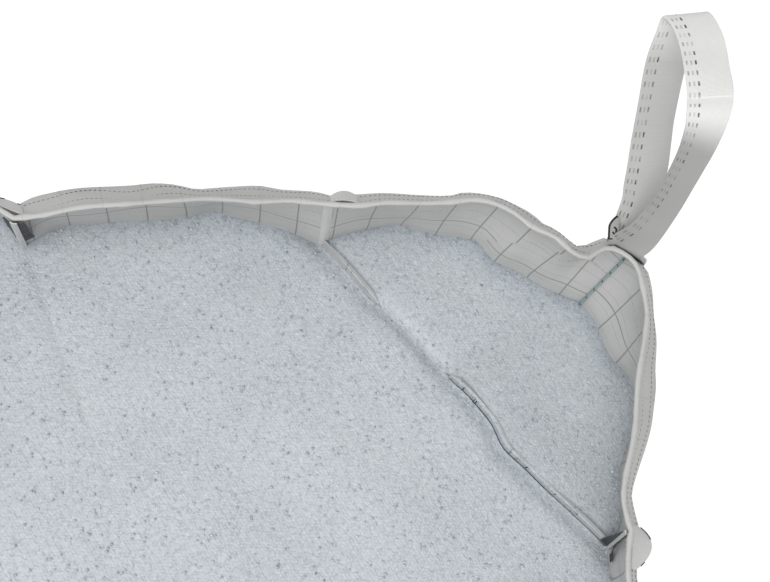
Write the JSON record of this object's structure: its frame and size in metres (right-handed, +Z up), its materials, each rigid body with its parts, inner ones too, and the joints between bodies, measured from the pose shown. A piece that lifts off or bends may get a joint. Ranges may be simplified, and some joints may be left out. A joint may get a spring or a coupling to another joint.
{
  "type": "baffle bulk bag",
  "caption": "Open square woven bulk bag filled with plastic granules, held square by inner corner baffles, with a webbing lifting loop standing at each corner.",
  "frame": {"origin": "on the floor, under the middle of the bag's base", "axes": "+Z up, +Y towards the rear wall, +X towards the right wall"},
  "size_m": [1.3232, 1.3232, 1.3565],
  "materials": {
    "woven_cloth": "matte woven polypropylene with a dark grid",
    "webbing": "matte ribbed polypropylene webbing",
    "seam_cord": "matte twisted cord",
    "black_cloth": "matte conductive cloth",
    "granules": "satin translucent plastic pellets"
  },
  "bodies": {
    "root": {"base_panel": "woven_cloth", "panel_rear": "woven_cloth", "panel_right": "woven_cloth", "panel_front": "woven_cloth", "panel_left": "woven_cloth", "baffle_rear_right": "woven_cloth", "baffle_front_right": "woven_cloth", "baffle_front_left": "woven_cloth", "baffle_rear_left": "woven_cloth", "seam_cord_rear_right": "seam_cord", "seam_cord_front_right": "seam_cord", "seam_cord_front_left": "seam_cord", "seam_cord_rear_left": "seam_cord", "rim_tab_rear_first": "webbing", "rim_tab_rear_second": "webbing", "rim_tab_right_first": "webbing", "rim_tab_right_second": "webbing", "rim_tab_front_first": "webbing", "rim_tab_front_second": "webbing", "rim_tab_left_first": "webbing", "rim_tab_left_second": "webbing", "bonding_patch_rear": "black_cloth", "bonding_patch_right": "black_cloth", "bonding_patch_front": "black_cloth", "bonding_patch_left": "black_cloth", "lifting_loop_rear_right": "webbing", "lifting_loop_front_right": "webbing", "lifting_loop_front_left": "webbing", "lifting_loop_rear_left": "webbing", "ground_tab_rear_right": "webbing", "granules": "granules"}
  },
  "joints": []
}
